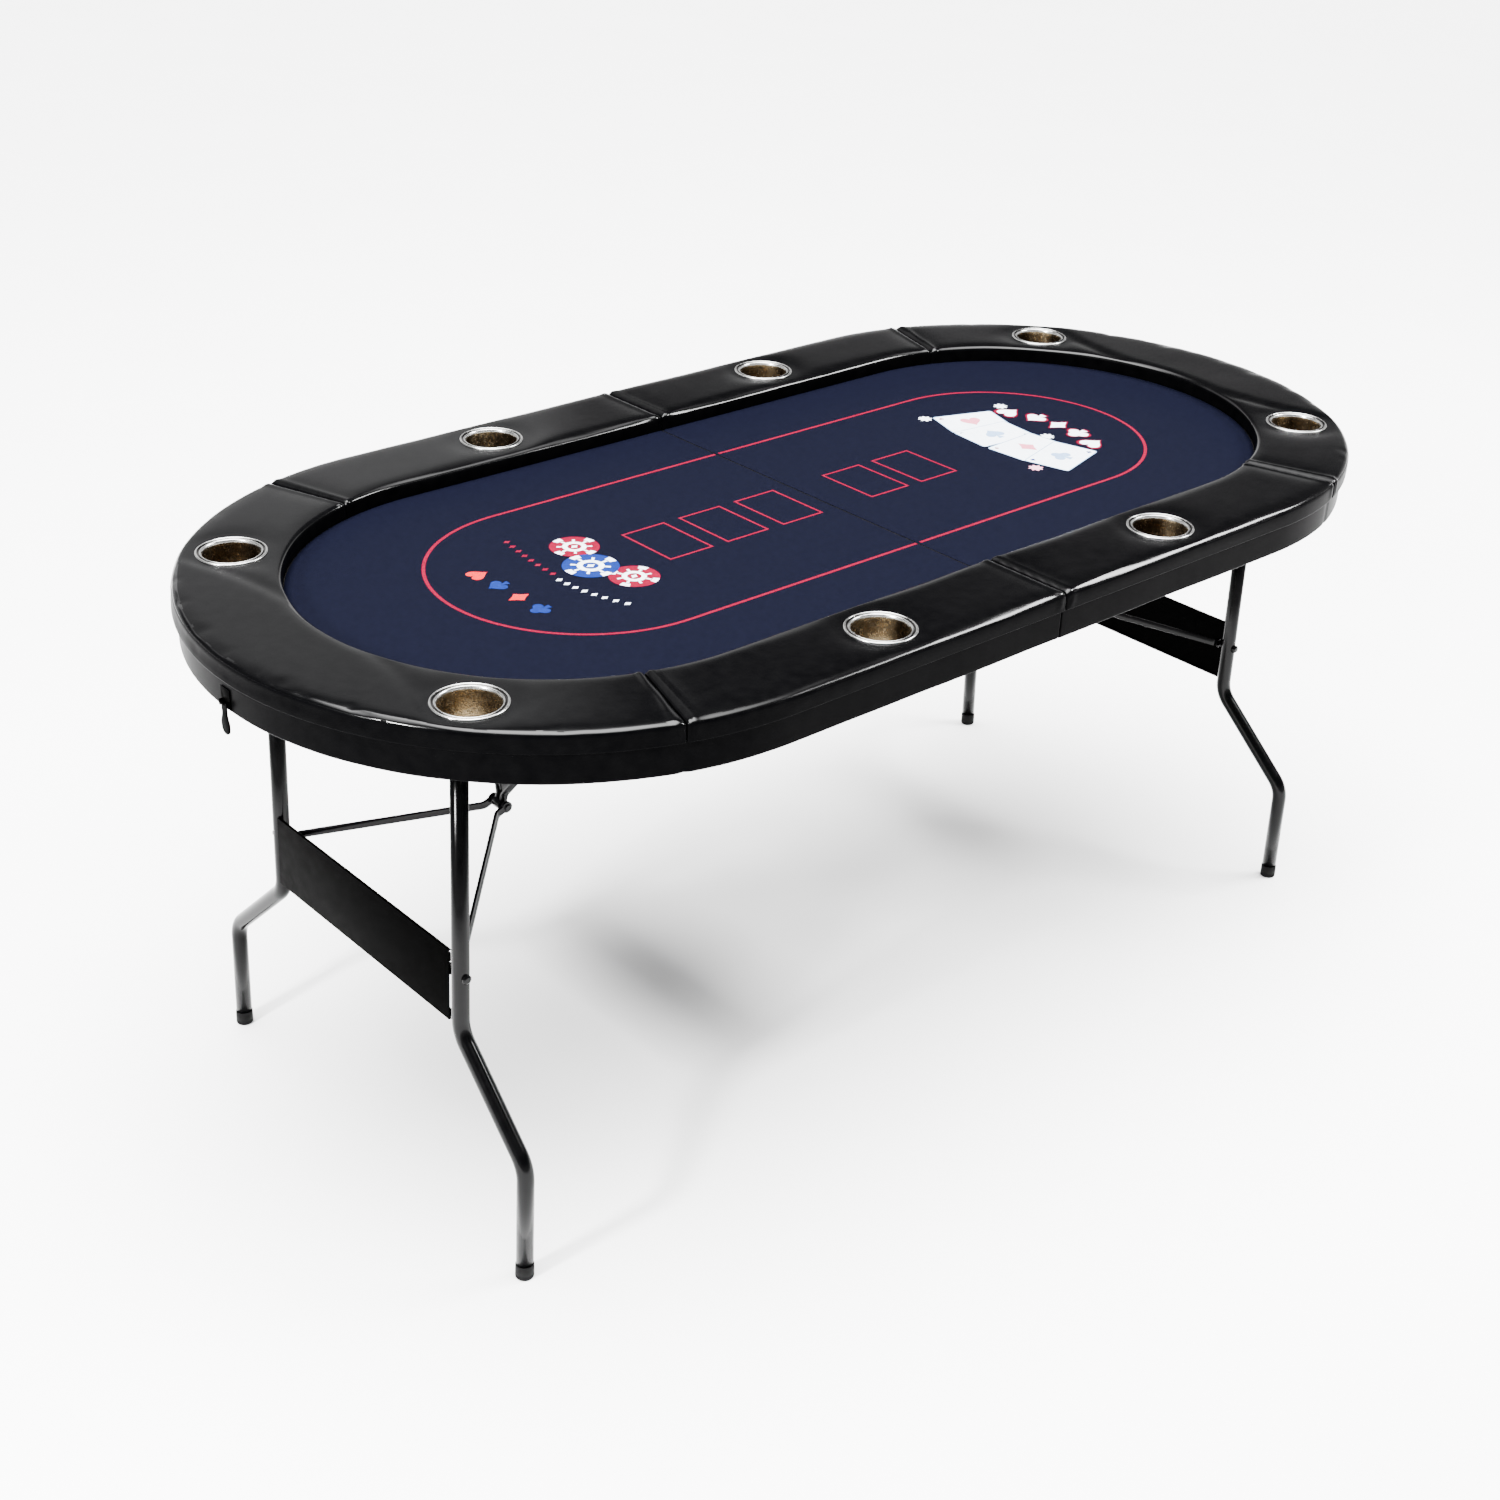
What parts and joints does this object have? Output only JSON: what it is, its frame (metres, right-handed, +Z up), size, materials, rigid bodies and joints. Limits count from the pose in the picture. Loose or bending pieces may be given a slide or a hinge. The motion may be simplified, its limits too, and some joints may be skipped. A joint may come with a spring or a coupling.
{
  "type": "folding poker table",
  "caption": "Stadium-shaped folding poker table with a padded rail, steel cup holders, a printed cloth field and folding wishbone legs with braces.",
  "frame": {"origin": "on the floor under the middle of the table", "axes": "+X along the length, away from the latch; +Y towards the back long side; +Z up"},
  "size_m": [1.83, 0.928, 0.7633],
  "materials": {
    "black_vinyl": "satin black coated fabric over foam, fine grain",
    "playing_cloth": "matt navy speed cloth with red, white and blue print",
    "board": "dark laminated board",
    "polished_steel": "polished stainless steel",
    "black_steel": "gloss black powder coat",
    "bright_steel": "zinc-plated steel",
    "rubber": "matt black rubber"
  },
  "bodies": {
    "left_half": {"left_end_rail": "black_vinyl", "left_side_rail_front": "black_vinyl", "left_side_rail_back": "black_vinyl", "left_apron": "black_vinyl", "left_deck_board": "board", "left_cloth": "playing_cloth", "left_fold_beam": "board", "left_end_cup_front": "polished_steel", "left_end_cup_back": "polished_steel", "left_side_cup_front": "polished_steel", "left_side_cup_back": "polished_steel", "left_leg_axle": "bright_steel", "left_leg_bracket_front": "black_steel", "left_leg_bracket_back": "black_steel", "left_link_bracket_front": "black_steel", "left_link_bracket_back": "black_steel", "hinge_leaf_left_front": "bright_steel", "hinge_leaf_left_back": "bright_steel", "latch_base": "black_steel"},
    "left_legs": {"left_leg_front": "black_steel", "left_leg_back": "black_steel", "left_foot_front": "rubber", "left_foot_back": "rubber", "left_leg_panel": "black_steel", "left_brace_bolt_front": "black_steel", "left_brace_bolt_back": "black_steel"},
    "left_brace_arms": {"left_brace_arm_front": "black_steel", "left_brace_arm_back": "black_steel"},
    "left_brace_link": {"left_brace_link": "black_steel"},
    "right_half": {"right_end_rail": "black_vinyl", "right_side_rail_front": "black_vinyl", "right_side_rail_back": "black_vinyl", "right_apron": "black_vinyl", "right_deck_board": "board", "right_cloth": "playing_cloth", "right_fold_beam": "board", "right_end_cup_front": "polished_steel", "right_end_cup_back": "polished_steel", "right_side_cup_front": "polished_steel", "right_side_cup_back": "polished_steel", "right_leg_axle": "bright_steel", "right_leg_bracket_front": "black_steel", "right_leg_bracket_back": "black_steel", "right_link_bracket_front": "black_steel", "right_link_bracket_back": "black_steel", "hinge_leaf_right_front": "bright_steel", "hinge_leaf_right_back": "bright_steel", "latch_keeper": "black_steel"},
    "right_legs": {"right_leg_front": "black_steel", "right_leg_back": "black_steel", "right_foot_front": "rubber", "right_foot_back": "rubber", "right_leg_panel": "black_steel", "right_brace_bolt_front": "black_steel", "right_brace_bolt_back": "black_steel"},
    "right_brace_arms": {"right_brace_arm_front": "black_steel", "right_brace_arm_back": "black_steel"},
    "right_brace_link": {"right_brace_link": "black_steel"},
    "latch_lever": {"latch_lever": "black_steel"}
  },
  "joints": [
    {"name": "table_fold", "type": "hinge", "parent": "left_half", "child": "right_half", "pos_m": [0, 0, 0.6917], "axis": [0, 1, 0], "range_deg": [0, 90]},
    {"name": "left_leg_fold", "type": "hinge", "parent": "left_half", "child": "left_legs", "pos_m": [-0.7328, 0, 0.712], "axis": [0, -1, 0], "range_deg": [0, 91.84]},
    {"name": "left_arm_pivot", "type": "hinge", "parent": "left_legs", "child": "left_brace_arms", "pos_m": [-0.74379, 0, 0.37], "axis": [0, -1, 0], "range_deg": [-109.6, 0]},
    {"name": "left_link_pivot", "type": "hinge", "parent": "left_half", "child": "left_brace_link", "pos_m": [-0.45889, 0, 0.717], "axis": [0, -1, 0], "range_deg": [0, 105.9]},
    {"name": "right_leg_fold", "type": "hinge", "parent": "right_half", "child": "right_legs", "pos_m": [0.7328, 0, 0.712], "axis": [0, 1, 0], "range_deg": [0, 91.84]},
    {"name": "right_arm_pivot", "type": "hinge", "parent": "right_legs", "child": "right_brace_arms", "pos_m": [0.74379, 0, 0.37], "axis": [0, 1, 0], "range_deg": [-109.6, 0]},
    {"name": "right_link_pivot", "type": "hinge", "parent": "right_half", "child": "right_brace_link", "pos_m": [0.45889, 0, 0.717], "axis": [0, 1, 0], "range_deg": [0, 105.9]},
    {"name": "latch_swing", "type": "hinge", "parent": "left_half", "child": "latch_lever", "pos_m": [-0.9127, 0, 0.704], "axis": [0, 1, 0], "range_deg": [0, 150]}
  ],
  "couplings": [
    {"joint": "left_arm_pivot", "follows": "left_leg_fold", "ratio": -1.1921},
    {"joint": "left_link_pivot", "follows": "left_leg_fold", "ratio": 1.152},
    {"joint": "right_arm_pivot", "follows": "right_leg_fold", "ratio": -1.1921},
    {"joint": "right_link_pivot", "follows": "right_leg_fold", "ratio": 1.152}
  ]
}
